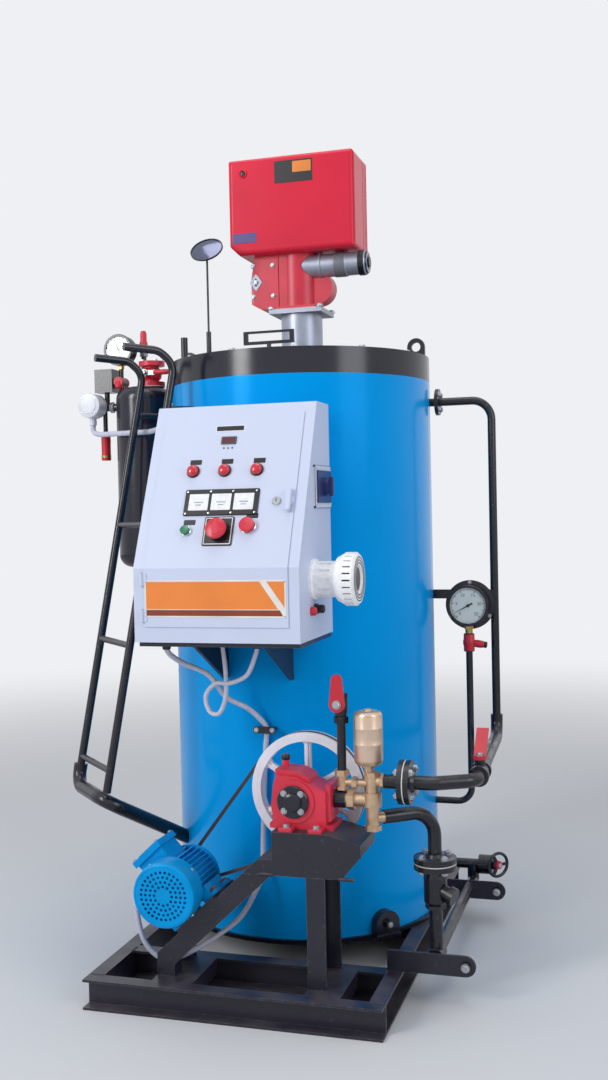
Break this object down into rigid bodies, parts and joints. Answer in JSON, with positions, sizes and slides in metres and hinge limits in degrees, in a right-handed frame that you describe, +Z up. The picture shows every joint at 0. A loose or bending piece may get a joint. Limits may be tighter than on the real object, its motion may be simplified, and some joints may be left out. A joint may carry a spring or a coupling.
{
  "type": "industrial boiler",
  "caption": "Vertical coil steam boiler on a channel skid with top burner, sloped control panel, belt-driven feed pump, ladder and pipework.",
  "frame": {"origin": "on the ground under the boiler casing's axis", "axes": "+Z up, -Y is the front with the control panel and the feed pump, +X is the boiler's right seen from the front"},
  "size_m": [1.2762, 1.189, 2.233],
  "materials": {
    "frame_black": "satin black paint",
    "gloss_black": "gloss black paint",
    "shell_blue": "gloss blue paint",
    "motor_blue": "gloss blue paint on cast aluminium",
    "burner_red": "gloss red paint",
    "handle_red": "red dipped coating",
    "panel_grey": "light grey powder coat",
    "control_mix": "mixed red, green and black controls",
    "hooter_white": "white plastic",
    "switch_white": "white enamel",
    "isolator_blue": "dark blue plastic in a white frame",
    "bright_steel": "bare turned steel",
    "tube_silver": "aluminium paint",
    "bronze": "unpolished bronze casting",
    "wheel_grey": "pale grey paint over cast iron",
    "belt_rubber": "dusty black rubber",
    "pipe_black": "gloss black paint",
    "mirror_glass": "mirror in a dark frame",
    "cable_grey": "light grey flexible conduit"
  },
  "bodies": {
    "boiler": {"skid_end_rails": "frame_black", "skid_side_rails": "frame_black", "skid_cross_members": "frame_black", "boiler_base_plate": "gloss_black", "boiler_casing": "shell_blue", "casing_top_ring": "gloss_black", "casing_top_cover": "gloss_black", "lifting_lugs": "gloss_black", "top_fittings": "gloss_black", "inspection_mirror": "mirror_glass", "flue_collar": "gloss_black", "blast_tube": "tube_silver", "burner_body": "burner_red", "burner_cover": "burner_red", "burner_motor": "tube_silver", "panel_cabinet": "panel_grey", "panel_tray": "frame_black", "panel_hooter": "hooter_white", "panel_isolator": "isolator_blue", "ladder_stringers": "gloss_black", "ladder_rungs": "gloss_black", "ladder_foot_pipe": "gloss_black", "separator_vessel": "gloss_black", "steam_valve": "burner_red", "gauge_manifold": "gloss_black", "left_gauge": "gloss_black", "pressure_switch": "switch_white", "stand_legs": "frame_black", "pump_bed": "frame_black", "motor_body": "motor_blue", "drive_belt": "belt_rubber", "crankcase": "burner_red", "crank_cover": "gloss_black", "pump_head": "bronze", "relief_pipe": "pipe_black", "discharge_pipe": "pipe_black", "riser_pipe": "pipe_black", "right_gauge": "gloss_black", "gauge_pipe": "pipe_black", "suction_bend": "pipe_black", "suction_strainer": "pipe_black", "supply_brackets": "frame_black", "supply_pipe": "pipe_black", "panel_cables": "cable_grey"},
    "door": {"panel_door": "panel_grey", "door_controls": "control_mix"},
    "wheel": {"flywheel": "wheel_grey"},
    "rotor": {"motor_rotor": "bright_steel"},
    "relief_handle": {"relief_lever": "handle_red"},
    "feed_handle": {"feed_valve_lever": "handle_red"},
    "steam_handle": {"steam_valve_lever": "bright_steel"},
    "supply_handle": {"supply_wheel": "handle_red"}
  },
  "joints": [
    {"name": "door_swing", "type": "hinge", "parent": "boiler", "child": "door", "pos_m": [-0.209, -0.691, 1], "axis": [0, 0, -1], "range_deg": [0, 110]},
    {"name": "wheel_spin", "type": "hinge", "parent": "boiler", "child": "wheel", "pos_m": [0.142, -0.48, 0.515], "axis": [0, -1, 0], "continuous": true},
    {"name": "rotor_spin", "type": "hinge", "parent": "boiler", "child": "rotor", "pos_m": [-0.163, -0.48, 0.293], "axis": [0, -1, 0], "continuous": true},
    {"name": "relief_turn", "type": "hinge", "parent": "boiler", "child": "relief_handle", "pos_m": [0.251, -0.59, 0.75], "axis": [0, -1, 0], "range_deg": [0, 90]},
    {"name": "feed_turn", "type": "hinge", "parent": "boiler", "child": "feed_handle", "pos_m": [0.56758, -0.43, 0.597], "axis": [0, 0, -1], "range_deg": [0, 90]},
    {"name": "steam_turn", "type": "hinge", "parent": "boiler", "child": "steam_handle", "pos_m": [-0.462, -0.072, 1.638], "axis": [0, -1, 0], "range_deg": [0, 90]},
    {"name": "supply_turn", "type": "hinge", "parent": "boiler", "child": "supply_handle", "pos_m": [0.53077, 0.12323, 0.171], "axis": [0.7071, -0.7071, 0], "range_deg": [0, 1080]}
  ],
  "couplings": [
    {"joint": "rotor_spin", "follows": "wheel_spin", "ratio": 4.8596}
  ]
}
